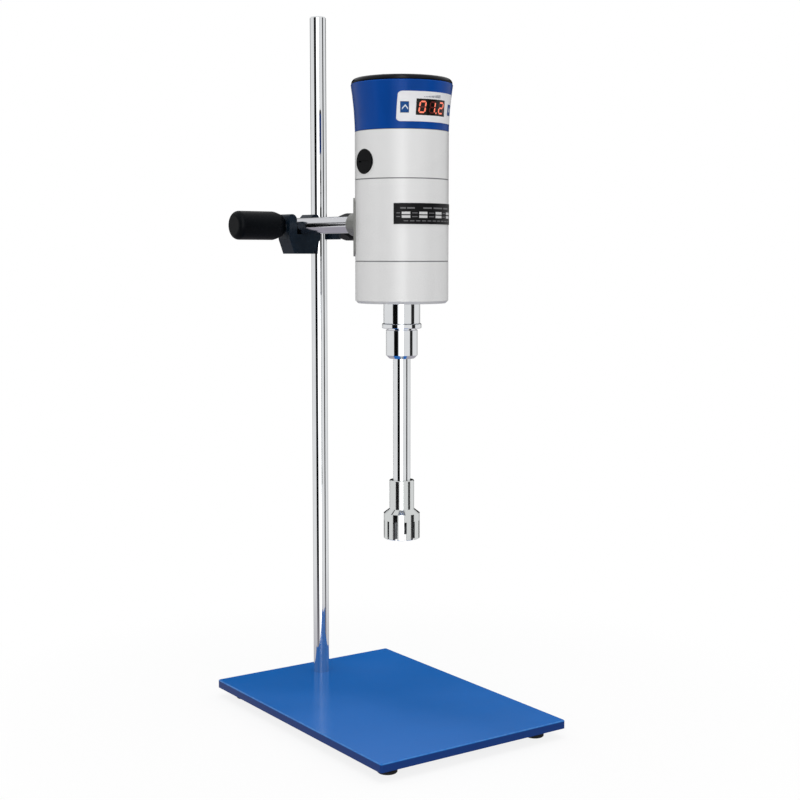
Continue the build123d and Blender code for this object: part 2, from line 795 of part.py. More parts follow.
with BuildPart() as key_switches:
    for side in (-1, 1):
        prism(Plane(origin=(board_front + snug, side * 22.5, button_level), x_dir=(0, 0, 1),
                    z_dir=(1, 0, 0)), 5.6, 6.0, 1.9)
finish(key_switches, "key_switches", HEAD)

with BuildPart() as switch_body:
    prism(radial(back, switch_level, switch_pad + snug), switch_width, switch_height, 1.8,
          corner=1.2)
    prism(radial(back, switch_level, switch_pad - switch_depth), switch_body_width,
          switch_body_height, switch_depth + 0.1)
    prism(radial(back, switch_level, switch_pad - 8), 10.6, 17.0, 20, mode=Mode.SUBTRACT)
    bar(Plane(origin=(3 - switch_pad, -6.0, switch_level), z_dir=(0, 1, 0)), 1.2 + running, 12,
        mode=Mode.SUBTRACT)
finish(switch_body, "switch_body", HEAD)

rocker_throw = 20.0
rocker_pivot = Pos(3 - switch_pad, 0, switch_level)

with BuildPart() as power_rocker:
    with BuildSketch(Plane.XZ.offset(-5.0)):
        with BuildLine():
            Polyline((2.6, -5), (2.6, 5), (-2.0, 7.4), (-5.2, 7.2), (-3.9, 0), (-5.2, -7.2),
                     (-2.0, -7.4), close=True)
        make_face()
    extrude(amount=10.0)
    bar(Plane(origin=(0, -5.8, 0), z_dir=(0, 1, 0)), 1.2, 11.6)
finish(power_rocker, "power_rocker", HEAD * rocker_pivot * Rot(0, -rocker_throw / 2, 0))

power_board_level = upper_top - 1.5

with BuildPart() as power_board:
    with BuildSketch(Plane.XY.offset(power_board_level)):
        Circle(bore_radius - 3.5)
        with PolarLocations(28, 3, start_angle=60):
            Circle(1.3, mode=Mode.SUBTRACT)
    extrude(amount=board_thickness)
finish(power_board, "power_board", HEAD)

with BuildPart() as filter_capacitor:
    with Locations((-12, 16, power_board_level + board_thickness + snug)):
        Cylinder(6.5, 20, align=UP)
    chamfer(filter_capacitor.faces().sort_by(Axis.Z)[-1].edges(), length=0.8)
finish(filter_capacitor, "filter_capacitor", HEAD)

with BuildPart() as triac_heatsink:
    with BuildSketch(Plane.XY.offset(power_board_level + board_thickness + snug)):
        with Locations((-6, -20)):
            Rectangle(28, 2.5)
            with Locations((0, 5)):
                with GridLocations(5, 0, 6, 1):
                    Rectangle(1.2, 10)
    extrude(amount=18)
finish(triac_heatsink, "triac_heatsink", HEAD)

# ---------------------------------------------------------------- motor

with BuildPart() as bearing_bracket:
    ring(bearing_radius - 3, bore_radius - 0.2, bracket_low, bracket_low + 4)
    ring(bearing_radius + snug, bearing_radius + 3.5, upper_bearing_low - 1,
         upper_bearing_low + bearing_width)
    ring(0, bearing_radius + snug, bracket_low - 5, upper_bearing_low + bearing_width,
         mode=Mode.SUBTRACT)
    ring(journal_radius + 1, bearing_radius + 3.5, upper_bearing_low + bearing_width,
         upper_bearing_low + bearing_width + 2)
    with BuildSketch(Plane.XY.offset(bracket_low)):
        with PolarLocations(26, 6, start_angle=30):
            Circle(6)
    extrude(amount=5, mode=Mode.SUBTRACT)
    with BuildSketch(Plane.XY.offset(bracket_low + 4)):
        with PolarLocations(28, 3, start_angle=60):
            Circle(3)
    extrude(amount=power_board_level - bracket_low - 4)
    with BuildSketch(Plane.XY.offset(bracket_low)):
        with bracket_spots:
            Circle(1.25)
    extrude(amount=5, mode=Mode.SUBTRACT)
finish(bearing_bracket, "bearing_bracket", HEAD)

with BuildPart() as bracket_screws:
    with BuildSketch(Plane.XY.offset(bracket_ledge)):
        with bracket_spots:
            Circle(1.25 - snug)
    extrude(amount=bracket_low + 4 - bracket_ledge)
    with BuildSketch(Plane.XY.offset(bracket_low + 4 + snug)):
        with bracket_spots:
            Circle(2.2)
    extrude(amount=1.6)
finish(bracket_screws, "bracket_screws", HEAD)

with BuildPart() as shaft_bearings:
    for low in (lower_bearing_low, upper_bearing_low):
        ring(journal_radius + running, bearing_radius, low + snug, low + bearing_width)
        ring(6.0, 9.2, low + bearing_width - 0.5, low + bearing_width, mode=Mode.SUBTRACT)
finish(shaft_bearings, "shaft_bearings", HEAD)

pole_face = armature_radius + air_gap
shoe_depth = 3.0
window_outer = core_radius - yoke

with BuildPart() as field_core:
    with BuildSketch(Plane.XY.offset(core_low + snug)):
        Circle(core_radius)
        Circle(window_outer, mode=Mode.SUBTRACT)
        Rectangle(2 * window_outer + 2, 2 * pole_half_width)
        with BuildSketch(mode=Mode.ADD):
            Circle(pole_face + shoe_depth)
            Rectangle(3 * pole_face, 2 * pole_face * cos(radians(58)), mode=Mode.INTERSECT)
        Circle(pole_face, mode=Mode.SUBTRACT)
    extrude(amount=core_high - core_low)
finish(field_core, "field_core", HEAD)

coil_width = 5.6
coil_over = 8.0        # how far a coil stands out of the core at each end

with BuildPart() as field_coils:
    for side in (-1, 1):
        with BuildSketch(Plane(origin=(side * (pole_face + shoe_depth + 0.4), 0,
                                       (core_low + core_high) / 2),
                               x_dir=(0, 1, 0), z_dir=(side, 0, 0))):
            RectangleRounded(2 * (pole_half_width + coil_width),
                             core_high - core_low + 2 * coil_over, 5)
            Rectangle(2 * pole_half_width + 0.3, core_high - core_low + 1.2, mode=Mode.SUBTRACT)
        extrude(amount=9)
    ring(0, bolt_circle - column_radius - 0.4, core_low - coil_over, core_high + coil_over,
         mode=Mode.INTERSECT)
finish(field_coils, "field_coils", HEAD)

with BuildPart() as motor_shaft:
    turned([
        (0, -2), (journal_radius, -2), (journal_radius, lower_bearing_low + bearing_width + 0.3),
        (shaft_radius, lower_bearing_low + bearing_width + 0.3),
        (shaft_radius, upper_bearing_low - 0.3), (journal_radius, upper_bearing_low - 0.3),
        (journal_radius, upper_bearing_low + bearing_width), (0, upper_bearing_low + bearing_width),
    ])
finish(motor_shaft, "motor_shaft", HEAD)

armature_slots = 12
slot_mouth = 1.8
slot_floor = 9.5
slot_top = armature_radius - 1.4

with BuildPart() as armature_core:
    ring(shaft_radius + snug, armature_radius, core_low, core_high)
    with BuildSketch(Plane.XY.offset(core_low)):
        with PolarLocations((slot_floor + slot_top) / 2, armature_slots):
            Rectangle(slot_top - slot_floor, 3.2)
        with PolarLocations(armature_radius, armature_slots):
            Rectangle(4, slot_mouth)
    extrude(amount=core_high - core_low, mode=Mode.SUBTRACT)
finish(armature_core, "armature_core", HEAD)

with BuildPart() as armature_windings:
    for low, high in ((core_low - 10, core_low - snug), (core_high + snug, core_high + 11)):
        turned([(shaft_radius + 2, low + 2), (shaft_radius + 5, low), (slot_top - 3, low),
                (slot_top, low + 3), (slot_top, high - 1), (slot_top - 1, high),
                (shaft_radius + 2, high)])
    with BuildSketch(Plane.XY.offset(core_low - 1)):
        with PolarLocations((slot_floor + slot_top) / 2, armature_slots):
            Rectangle(slot_top - slot_floor - 0.3, 2.9)
    extrude(amount=core_high - core_low + 2)
finish(armature_windings, "armature_windings", HEAD)

with BuildPart() as commutator:
    ring(shaft_radius + snug, commutator_radius, commutator_low, commutator_high)
    ring(commutator_radius - 0.5, commutator_radius + 1.6, commutator_low, commutator_low + 2)
    with BuildSketch(Plane.XY.offset(commutator_low)):
        with PolarLocations(commutator_radius, armature_slots):
            Rectangle(1.6, 0.6)
    extrude(amount=commutator_high - commutator_low, mode=Mode.SUBTRACT)
finish(commutator, "commutator", HEAD)

with BuildPart() as cooling_fan:
    ring(shaft_radius + snug, shaft_radius + 3, fan_low, fan_low + fan_height)
    ring(shaft_radius + 2, fan_radius, fan_low + fan_height - 1.2, fan_low + fan_height)
    with BuildSketch(Plane.XY.offset(fan_low)):
        with PolarLocations((fan_radius + shaft_radius + 3) / 2, fan_blades):
            Rectangle(fan_radius - shaft_radius - 5, 1.4, rotation=18)
    extrude(amount=fan_height - 1)
finish(cooling_fan, "cooling_fan", HEAD)

with BuildPart() as brush_holders:
    for side in brush_sides:
        bar(radial(side, brush_level, holder_inner), holder_radius, holder_outer - holder_inner)
        prism(radial(side, brush_level, 0), brush_width + 0.2, brush_height + 0.2, 60,
              mode=Mode.SUBTRACT)
finish(brush_holders, "brush_holders", HEAD)

brush_length = 15.0
brush_tip = commutator_radius + running

with BuildPart() as carbon_brushes:
    for side in brush_sides:
        prism(radial(side, brush_level, brush_tip), brush_width, brush_height, brush_length)
finish(carbon_brushes, "carbon_brushes", HEAD)

spring_radius = 2.4
spring_wire = 0.4
spring_low = brush_tip + brush_length + spring_wire + 0.02
spring_length = holder_outer - spring_low - spring_wire - 0.02

with BuildPart() as coil_spring:
    with BuildLine():
        turns = Helix(pitch=spring_length / 5, height=spring_length, radius=spring_radius)
    with BuildSketch(Plane(origin=turns @ 0, z_dir=turns % 0)):
        RegularPolygon(spring_wire, 6)
    sweep(path=turns, is_frenet=True)

with BuildPart() as brush_springs:
    for side in brush_sides:
        add(radial(side, brush_level, spring_low).location * coil_spring.part)
finish(brush_springs, "brush_springs", HEAD)

with BuildPart() as brush_caps:
    for side in brush_sides:
        bar(radial(side, brush_level, holder_outer + snug), brush_cap_radius, cap_thickness - 0.02)
        prism(radial(side, brush_level, cap_face - 1.2), 15, 1.6, 5, mode=Mode.SUBTRACT)
finish(brush_caps, "brush_caps", HEAD)

# ---------------------------------------------------------------- nose and drive coupling

tang_top = -coupling_low + 6.0

with BuildPart() as drive_coupling:
    ring(journal_radius + snug, coupling_radius, -2, 10)
    ring(0, coupling_radius, -coupling_low, -2)
    prism(Plane.XY.offset(-coupling_low - 1), tang_width + 0.2, 30, 7.4, mode=Mode.SUBTRACT)
finish(drive_coupling, "drive_coupling", HEAD)

with BuildPart() as spindle_nose:
    turned([
        (nose_bore, -nose_length), (nose_radius - 0.5, -nose_length),
        (nose_radius, 0.5 - nose_length), (nose_radius, 0), (spigot_radius, 0),
        (spigot_radius, floor_thickness), (nose_bore, floor_thickness),
    ])
finish(spindle_nose, "spindle_nose", HEAD)

# ---------------------------------------------------------------- dispersing tool

shank_radius = nose_bore - running
tool_bore = tube_radius - tube_wall
tube_top = -collar_top - 8
ring_top = -nose_length - running

with BuildPart() as lock_ring:
    ring(shank_radius + snug, ring_radius, ring_top - ring_height, ring_top)
    rims = lock_ring.edges().filter_by(GeomType.CIRCLE).group_by(SortBy.RADIUS)[-1]
    chamfer(rims, length=0.5)
finish(lock_ring, "lock_ring", HEAD)

with BuildPart() as tool_collar:
    turned([
        (tool_bore, -coupling_low - 1.5), (shank_radius, -coupling_low - 1.5),
        (shank_radius, ring_top - ring_height), (collar_radius - 1.5, ring_top - ring_height),
        (collar_radius - 1.5, -collar_top), (collar_radius - 0.4, -collar_top),
        (collar_radius, -collar_top - 0.4), (collar_radius, collar_edge - collar_bottom),
        (collar_radius - collar_edge, -collar_bottom), (tube_radius + snug, -collar_bottom),
        (tube_radius + snug, tube_top), (tool_bore, tube_top),
    ])
finish(tool_collar, "tool_collar", HEAD)

sleeve_seat = tube_end + 16.7

with BuildPart() as tool_tube:
    ring(tool_bore, tube_radius, -sleeve_seat, tube_top - snug)
finish(tool_tube, "tool_tube", HEAD)

bush_levels = (-0.37 * tube_end, -0.69 * tube_end, -sleeve_seat + 1)

with BuildPart() as tool_bushes:
    for low in bush_levels:
        ring(tool_shaft_radius + running, tool_bore - snug, low, low + 9)
finish(tool_bushes, "tool_bushes", HEAD)

with BuildPart() as shaft_seal:
    ring(tool_shaft_radius + running, tube_radius, -sleeve_end + snug, -sleeve_seat - snug)
    ring(tool_shaft_radius + 1.2, tube_radius - 1.4, -sleeve_end + 3, -sleeve_seat,
         mode=Mode.SUBTRACT)
finish(shaft_seal, "shaft_seal", HEAD)

stator_bore = stator_radius - stator_wall
chamber_top = stator_shoulder + 3.0

with BuildPart() as stator_head:
    turned([
        (tube_radius + snug, -tube_end), (sleeve_radius - 0.5, -tube_end),
        (sleeve_radius, -tube_end - 0.5), (sleeve_radius, -sleeve_end),
        (stator_radius, -stator_shoulder), (stator_radius, 0.4 - stator_end),
        (stator_radius - 0.4, -stator_end), (stator_bore, -stator_end),
        (stator_bore, -chamber_top), (tool_shaft_radius + 1, -chamber_top),
        (tool_shaft_radius + 1, -sleeve_end), (tube_radius + snug, -sleeve_end),
    ])
    with BuildSketch(Plane.XY.offset(-stator_end)):
        with PolarLocations(stator_radius, stator_slots, start_angle=slot_phase):
            Rectangle(4 * stator_wall, slot_width)
    extrude(amount=slot_length, mode=Mode.SUBTRACT)
finish(stator_head, "stator_head", HEAD)

rotor_radius = stator_bore - rotor_gap
rotor_top = -chamber_top - 1.0
rotor_foot = rotor_recess - stator_end
rotor_hub = rotor_top - 8
thread_radius = tool_shaft_radius - 0.5

with BuildPart() as rotor:
    ring(tool_shaft_radius + snug, rotor_radius, rotor_top - 3, rotor_top)
    ring(tool_shaft_radius + snug, tool_shaft_radius + 3, rotor_hub, rotor_top)
    ring(rotor_radius - rotor_wall, rotor_radius, rotor_foot, rotor_top)
    with BuildSketch(Plane.XY.offset(rotor_foot)):
        with PolarLocations(rotor_radius, rotor_slots, start_angle=slot_phase + 30):
            Rectangle(4 * rotor_wall, 5.0)
    extrude(amount=rotor_top - 3 - rotor_foot, mode=Mode.SUBTRACT)
finish(rotor, "rotor", HEAD)

with BuildPart() as rotor_nut:
    with BuildSketch(Plane.XY.offset(rotor_hub - 4.02)):
        RegularPolygon(4.6, 6)
        Circle(thread_radius + snug, mode=Mode.SUBTRACT)
    extrude(amount=4.0)
finish(rotor_nut, "rotor_nut", HEAD)

with BuildPart() as tool_shaft:
    turned([
        (0, rotor_hub - 5), (thread_radius - 0.4, rotor_hub - 5), (thread_radius, rotor_hub - 4.6),
        (thread_radius, rotor_hub), (tool_shaft_radius, rotor_hub),
        (tool_shaft_radius, -coupling_low - 1), (tool_bore - 1, -coupling_low - 1),
        (tool_bore - 1, -coupling_low - 0.1), (0, -coupling_low - 0.1),
    ])
    prism(Plane.XY.offset(-coupling_low - 0.5), tang_width, 11, tang_top + coupling_low + 0.4)
finish(tool_shaft, "tool_shaft", HEAD)
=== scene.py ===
from math import atan2, cos, pi, radians, sin

import bpy
import numpy as np
from mathutils import Matrix, Vector


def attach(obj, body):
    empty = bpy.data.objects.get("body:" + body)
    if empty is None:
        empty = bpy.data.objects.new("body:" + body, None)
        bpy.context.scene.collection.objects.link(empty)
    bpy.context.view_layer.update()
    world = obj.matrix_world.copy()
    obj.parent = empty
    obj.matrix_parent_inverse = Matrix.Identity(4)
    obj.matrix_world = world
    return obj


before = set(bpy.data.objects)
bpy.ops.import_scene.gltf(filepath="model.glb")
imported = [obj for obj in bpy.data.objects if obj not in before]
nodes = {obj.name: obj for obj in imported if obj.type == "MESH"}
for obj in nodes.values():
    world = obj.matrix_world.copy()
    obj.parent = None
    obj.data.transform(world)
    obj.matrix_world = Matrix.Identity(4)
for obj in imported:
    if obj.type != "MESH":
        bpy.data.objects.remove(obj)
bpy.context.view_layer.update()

# The motor head's own frame: its axis stands here, turned a little with the boss head.
HEAD_AXIS = (0.056558, -0.017750)
HEAD_FOOT = 0.4067
HEAD_TURN = radians(3.4)
ROD_AXIS = (-0.1168, 0.0)
ARM_LEVEL = 0.479
PLATE_TOP = 0.017

# The flared control housing, measured up from the head's foot.
HOUSING_RADIUS = 0.0425
CROWN_RADIUS = 0.0463
CROWN_SWELL = 0.00075
FLARE_LOW = 0.154
FLARE_HIGH = 0.1963


def linear(red, green, blue):
    """A colour from 0-255 screen numbers, as the shader counts it."""
    return tuple((c / 12.92 if c <= 0.04045 else ((c + 0.055) / 1.055) ** 2.4)
                 for c in (red / 255, green / 255, blue / 255)) + (1.0,)


def shade(colour, factor):
    """The same colour, lighter or darker."""
    return tuple(min(1.0, c * factor) for c in colour[:3]) + (1.0,)


# ------------------------------------------------------------------ shader maths

class Value:
    """A number in a shader: each operator adds the Math node for it."""

    def __init__(self, shader, socket):
        self.shader, self.socket = shader, socket

    def maths(self, operation, *others):
        return self.shader.node("Math", dict(enumerate((self, *others))), operation=operation)

    def __add__(self, other): return self.maths("ADD", other)
    def __sub__(self, other): return self.maths("SUBTRACT", other)
    def __mul__(self, other): return self.maths("MULTIPLY", other)
    def __gt__(self, other): return self.maths("GREATER_THAN", other)
    def __lt__(self, other): return self.maths("LESS_THAN", other)
    def __abs__(self): return self.maths("ABSOLUTE")

    def ramp(self, low, high, start=0.0, end=1.0):
        """Goes smoothly from start to end while this value goes from low to high."""
        return self.shader.node("MapRange", {0: self, 1: low, 2: high, 3: start, 4: end},
                                interpolation_type="SMOOTHSTEP")


class Shader:
    """The node tree of one material or of the world."""

    def __init__(self, tree):
        self.tree = tree

    def node(self, kind, values=(), out=0, **settings):
        """Adds any node: its settings first, then values or links for its sockets."""
        made = self.tree.nodes.new("ShaderNode" + kind)
        for name, setting in settings.items():
            setattr(made, name, setting)
        for name, value in dict(values).items():
            self.put(made.inputs[name], value)
        return Value(self, made.outputs[out])

    def put(self, socket, value):
        if isinstance(value, Value):
            self.tree.links.new(value.socket, socket)
        else:
            socket.default_value = value

    def mix(self, factor, first, second, blend="MIX"):
        """Mixes two colours."""
        return self.node("Mix", {0: factor, 6: first, 7: second}, out=2, data_type="RGBA",
                         blend_type=blend)

    def axes(self, vector):
        """The three numbers of a vector."""
        split = self.node("SeparateXYZ", {0: vector})
        outputs = split.socket.node.outputs
        return [Value(self, outputs[i]) for i in range(3)]


def band(value, middle, half, soft):
    """1 within half of the middle, fading to 0 over soft."""
    return abs(value - middle).ramp(half, half + soft, 1.0, 0.0)


class Finish(Shader):
    """A material on the Principled shader, with its even values set on the shader itself."""

    def __init__(self, name, **even):
        self.material = bpy.data.materials.new(name)
        self.material.use_nodes = True
        super().__init__(self.material.node_tree)
        self.shader = self.tree.nodes["Principled BSDF"]
        for socket, value in even.items():
            self.shader.inputs[socket.replace("_", " ")].default_value = value
        self.place = self.node("TexCoord", out=3)

    def at(self, centre=(0, 0, 0), scale=(1, 1, 1)):
        """Object coordinates measured from a centre, then stretched."""
        shifted = self.node("VectorMath", {0: self.place, 1: centre}, operation="SUBTRACT")
        return self.node("VectorMath", {0: shifted, 1: scale}, operation="MULTIPLY")

    def noise(self, scale, detail=2.0, rough=0.5, vector=None, stretch=(1, 1, 1)):
        """Cloudy noise from 0 to 1, with scale patches to the metre."""
        where = vector or self.at(scale=stretch)
        return self.node("TexNoise", {"Vector": where, "Scale": scale, "Detail": detail,
                                      "Roughness": rough})

    def speckle(self, scale, vector=None):
        """Distance to the nearest of many scattered points."""
        return self.node("TexVoronoi", {"Vector": vector or self.place, "Scale": scale})

    def set(self, **values):
        for socket, value in values.items():
            self.put(self.shader.inputs[socket.replace("_", " ")], value)
        return self

    def bump(self, height, depth, strength=1.0):
        """Raises the surface by height times depth, in metres."""
        return self.set(Normal=self.node("Bump", {"Height": height, "Distance": depth,
                                                  "Strength": strength}))


def enamel(name, colour, peel=0.00003, peel_scale=260, rough=(0.22, 0.30), cloud=0.04, **even):
    """Sprayed and baked paint: soft clouds in the colour, orange peel and a fine dust."""
    f = Finish(name, **even)
    clouds = f.noise(9, 3)
    dust = f.noise(1900, 1)
    tone = f.mix(clouds.ramp(0.3, 0.7), shade(colour, 1 - cloud), shade(colour, 1 + cloud))
    f.set(Base_Color=tone, Roughness=dust * 0.04 + clouds.ramp(0.3, 0.7, *rough))
    return f.bump(f.noise(peel_scale, 2) + dust * 0.12, peel)


def moulded(name, colour, grain=0.00002, grain_scale=2600, rough=(0.34, 0.46), **even):
    """Moulded plastic: spark-eroded grain, with slow streaks where it flowed and was handled."""
    f = Finish(name, **even)
    flow = f.noise(34, 3, stretch=(1, 1, 0.35))
    f.set(Base_Color=f.mix(flow.ramp(0.35, 0.7), shade(colour, 0.92), shade(colour, 1.12)),
          Roughness=flow.ramp(0.3, 0.7, *rough))
    return f.bump(f.noise(grain_scale, 2, 0.6), grain)


def turned_metal(name, colour, centre=(0, 0, 0), along=(0.05, 0.05, 1.0), lines=5200,
                 rough=(0.03, 0.09), depth=0.0000002, **even):
    """Turned and polished metal: fine tool rings across the axis and a breath of haze."""
    even.setdefault("Metallic", 1.0)
    f = Finish(name, **even)
    rings = f.noise(lines, 2, 0.6, vector=f.at(centre, along))
    haze = f.noise(55, 3, 0.55)
    f.set(Base_Color=f.mix(haze.ramp(0.35, 0.7), shade(colour, 0.965), colour),
          Roughness=haze.ramp(0.35, 0.75, *rough) + rings * 0.03)
    return f.bump(rings, depth)


def brushed_metal(name, colour, stretch, lines=900, rough=(0.28, 0.42), depth=0.000006,
                  **even):
    """Ground or brushed metal: long fine scratches that run along the least stretched way."""
    even.setdefault("Metallic", 1.0)
    f = Finish(name, **even)
    scratches = f.noise(lines, 4, 0.7, stretch=stretch)
    clouds = f.noise(40, 2)
    f.set(Base_Color=f.mix(scratches.ramp(0.3, 0.72), shade(colour, 0.82), shade(colour, 1.1)),
          Roughness=clouds.ramp(0.3, 0.7, *rough))
    return f.bump(scratches, depth)


# ------------------------------------------------------------------ the finishes

def plate_enamel():
    """Blue gloss enamel on steel, painted a little lighter along the plate's arris as a painted
    highlight, and darker on its sides as painted shade.
    """
    blue = linear(14, 108, 196)
    f = enamel("blue_plate_enamel", blue, peel=0.00002, peel_scale=190, rough=(0.11, 0.15),
               Specular_IOR_Level=0.30)
    x, y, z = f.axes(f.place)
    # Near the edges, on the top arris, a lighter blue is mixed in: a painted highlight.
    near_edge = (abs(x) > 0.1492).maths("MAXIMUM", abs(y) > 0.1032)
    painted_edge_highlight = near_edge * (z > PLATE_TOP - 0.0009) * f.noise(120, 3).ramp(0.35, 0.6, 0.15, 0.45)
    clouds = f.noise(7, 3).ramp(0.3, 0.7)
    top = f.mix(clouds, shade(blue, 0.95), shade(blue, 1.06))
    # Below the top face the sides turn a darker blue: painted shade, as the light falls from
    # above.
    body = f.mix(z.ramp(PLATE_TOP - 0.0016, PLATE_TOP - 0.0008), linear(4, 58, 132), top)
    return f.set(Base_Color=f.mix(painted_edge_highlight, body, linear(88, 150, 214)))


def housing_paint():
    """White powder coat with a fine peel, a little greyer towards the rolled seams, where the
    grey is painted shade in the seam grooves.
    """
    white = linear(237, 237, 237)
    f = enamel("white_powder_coat", white, peel=0.00002, peel_scale=520, rough=(0.24, 0.30),
               cloud=0.010, Specular_IOR_Level=0.5)
    up = f.axes(f.place)[2] - HEAD_FOOT
    # Grey bands at the three rolled seams: painted shade in the seam grooves.
    painted_seam_shade = band(up, 0.038, 0.0003, 0.0004).maths("MAXIMUM", band(up, 0.111, 0.0003, 0.0004))
    painted_seam_shade = painted_seam_shade.maths("MAXIMUM", band(up, 0.154, 0.0003, 0.0004))
    clouds = f.noise(9, 3).ramp(0.3, 0.7)
    coat = f.mix(clouds, shade(white, 0.99), white)
    return f.set(Base_Color=f.mix(painted_seam_shade * 0.85, coat, linear(96, 98, 102)))


def shell_blue():
    """Blue moulded shell with a fine, even gloss."""
    return moulded("blue_shell_plastic", linear(8, 70, 154), grain=0.000006,
                   rough=(0.20, 0.26), Specular_IOR_Level=0.10)


def cast_enamel():
    """Blue-black stoved paint on a sand casting: lumpy, pitted and worn bare on the crests."""
    dark = linear(18, 31, 43)
    f = Finish("boss_cast_enamel", Specular_IOR_Level=0.2)
    lumps = f.noise(330, 3, 0.6)
    pits = f.speckle(900).ramp(0.0, 0.35)
    swell = f.noise(45, 2)
    tone = f.mix(swell.ramp(0.3, 0.7), shade(dark, 0.82), shade(dark, 1.2))
    f.set(Base_Color=f.mix(lumps.ramp(0.66, 0.8), tone, linear(44, 62, 76)),
          Roughness=lumps.ramp(0.3, 0.7, 0.30, 0.46))
    return f.bump(lumps * 0.7 + pits * 0.3 + swell, 0.00010)


def knob_plastic():
    """Glass-filled black plastic, satin, with a faint swirl under the gloss."""
    return moulded("black_knob_plastic", linear(9, 12, 15), grain=0.000018, grain_scale=1500,
                   rough=(0.34, 0.44), Specular_IOR_Level=0.07)


def cover_gloss():
    """Smoked black gloss plastic, with hairline polish and a few settled specks."""
    f = Finish("smoked_cover_gloss", Specular_IOR_Level=0.14)
    specks = f.speckle(700).ramp(0.0, 0.12, 1.0, 0.0)
    haze = f.noise(60, 3)
    f.set(Base_Color=f.mix(specks * 0.25, linear(12, 15, 22), linear(70, 74, 82)),
          Roughness=haze.ramp(0.3, 0.7, 0.16, 0.24))
    return f.bump(f.noise(500, 2), 0.000004)


def foot_rubber():
    """Black rubber, bloomed grey and scuffed towards the bench."""
    f = Finish("foot_rubber", Specular_IOR_Level=0.3)
    z = f.axes(f.place)[2]
    bloom = f.noise(160, 4, 0.65)
    scuff = z.ramp(0.0, 0.003, 1.0, 0.0) * bloom
    f.set(Base_Color=f.mix(scuff, linear(22, 24, 26), linear(70, 71, 72)),
          Roughness=bloom.ramp(0.2, 0.8, 0.68, 0.86))
    return f.bump(f.noise(1400, 2), 0.00004)


def fascia_film():
    """Printed polyester film on the control panel, with a velvet texture."""
    f = Finish("fascia_film", Specular_IOR_Level=0.35)
    velvet = f.noise(3400, 2, 0.7)
    clouds = f.noise(60, 2)
    f.set(Base_Color=f.mix(clouds.ramp(0.3, 0.7), linear(240, 240, 243), linear(247, 247, 249)),
          Roughness=velvet.ramp(0.3, 0.7, 0.38, 0.5))
    return f.bump(velvet, 0.000012)


def lens_finish():
    """Smoked display lens: near black with a deep green-brown cast; the lit red digits are pieces
    of their own laid on it.
    """
    f = Finish("smoked_display_lens", Specular_IOR_Level=0.22)
    mesh = f.noise(2400, 1)
    f.set(Base_Color=f.mix(mesh.ramp(0.3, 0.7), linear(14, 15, 12), linear(30, 27, 22)),
          Roughness=f.noise(300, 2).ramp(0.3, 0.7, 0.10, 0.16))
    return f.bump(mesh, 0.000002)


def plate_anodised():
    """Black anodised rating plate, brushed along its length."""
    f = Finish("anodised_plate_black", Specular_IOR_Level=0.12)
    brush = f.noise(1500, 3, 0.7, stretch=(0.25, 0.25, 3.0))
    f.set(Base_Color=f.mix(brush.ramp(0.3, 0.7), linear(8, 8, 9), linear(22, 22, 24)),
          Roughness=brush.ramp(0.3, 0.7, 0.34, 0.48))
    return f.bump(brush, 0.000006)


def glow(name, colour, strength, hot=None):
    """LED segment glow, patchy with the grain of the diffuser."""
    # Also used for the unlit segments, where the glow is painted glow.
    f = Finish(name, Emission_Strength=strength, Roughness=0.35)
    grain = f.noise(2600, 2)
    lit = f.mix(grain.ramp(0.3, 0.75), colour, hot or shade(colour, 1.3))
    return f.set(Base_Color=shade(colour, 0.3), Emission_Color=lit)


def ink(name, colour):
    """Screen-printed ink, slightly uneven."""
    f = Finish(name, Specular_IOR_Level=0.3)
    wet = f.noise(2200, 3, 0.6)
    f.set(Base_Color=f.mix(wet.ramp(0.25, 0.75), shade(colour, 0.9), colour),
          Roughness=wet.ramp(0.3, 0.7, 0.42, 0.56))
    return f.bump(wet, 0.000008)


def stacked_steel():
    """Blued steel stampings, a hair line at each sheet of the stack."""
    f = Finish("stacked_steel_sheets", Metallic=0.9)
    z = f.axes(f.place)[2]
    sheets = (z * 2000.0).maths("FRACT").ramp(0.7, 0.95)
    stain = f.noise(90, 3)
    f.set(Base_Color=f.mix(sheets * 0.7, f.mix(stain.ramp(0.3, 0.7), linear(96, 100, 110),
                                               linear(130, 128, 126)), linear(40, 40, 44)),
          Roughness=stain.ramp(0.3, 0.7, 0.36, 0.5))
    return f.bump(sheets, -0.00003)


def copper_turns():
    """Enamelled copper wire laid in fine turns."""
    f = Finish("enamelled_copper_turns", Metallic=0.85)
    x, y, z = f.axes(f.place)
    turn = ((x + y + z) * 9000.0).maths("SINE").ramp(-1.0, 1.0)
    f.set(Base_Color=f.mix(turn, linear(120, 54, 24), linear(206, 116, 62)),
          Roughness=f.noise(300, 2).ramp(0.3, 0.7, 0.28, 0.4))
    return f.bump(turn, 0.00008)


def board_laminate():
    """Green solder mask over a woven glass board, with tinned pads."""
    f = Finish("board_laminate")
    pads = f.speckle(360).ramp(0.16, 0.2, 1.0, 0.0)
    weave = f.noise(1500, 2)
    f.set(Base_Color=f.mix(pads, f.mix(weave.ramp(0.3, 0.7), linear(16, 84, 48),
                                       linear(30, 112, 66)), linear(196, 196, 190)),
          Metallic=pads * 0.8, Roughness=pads.ramp(0.0, 1.0, 0.5, 0.3))
    return f.bump(pads + weave * 0.2, 0.00003)


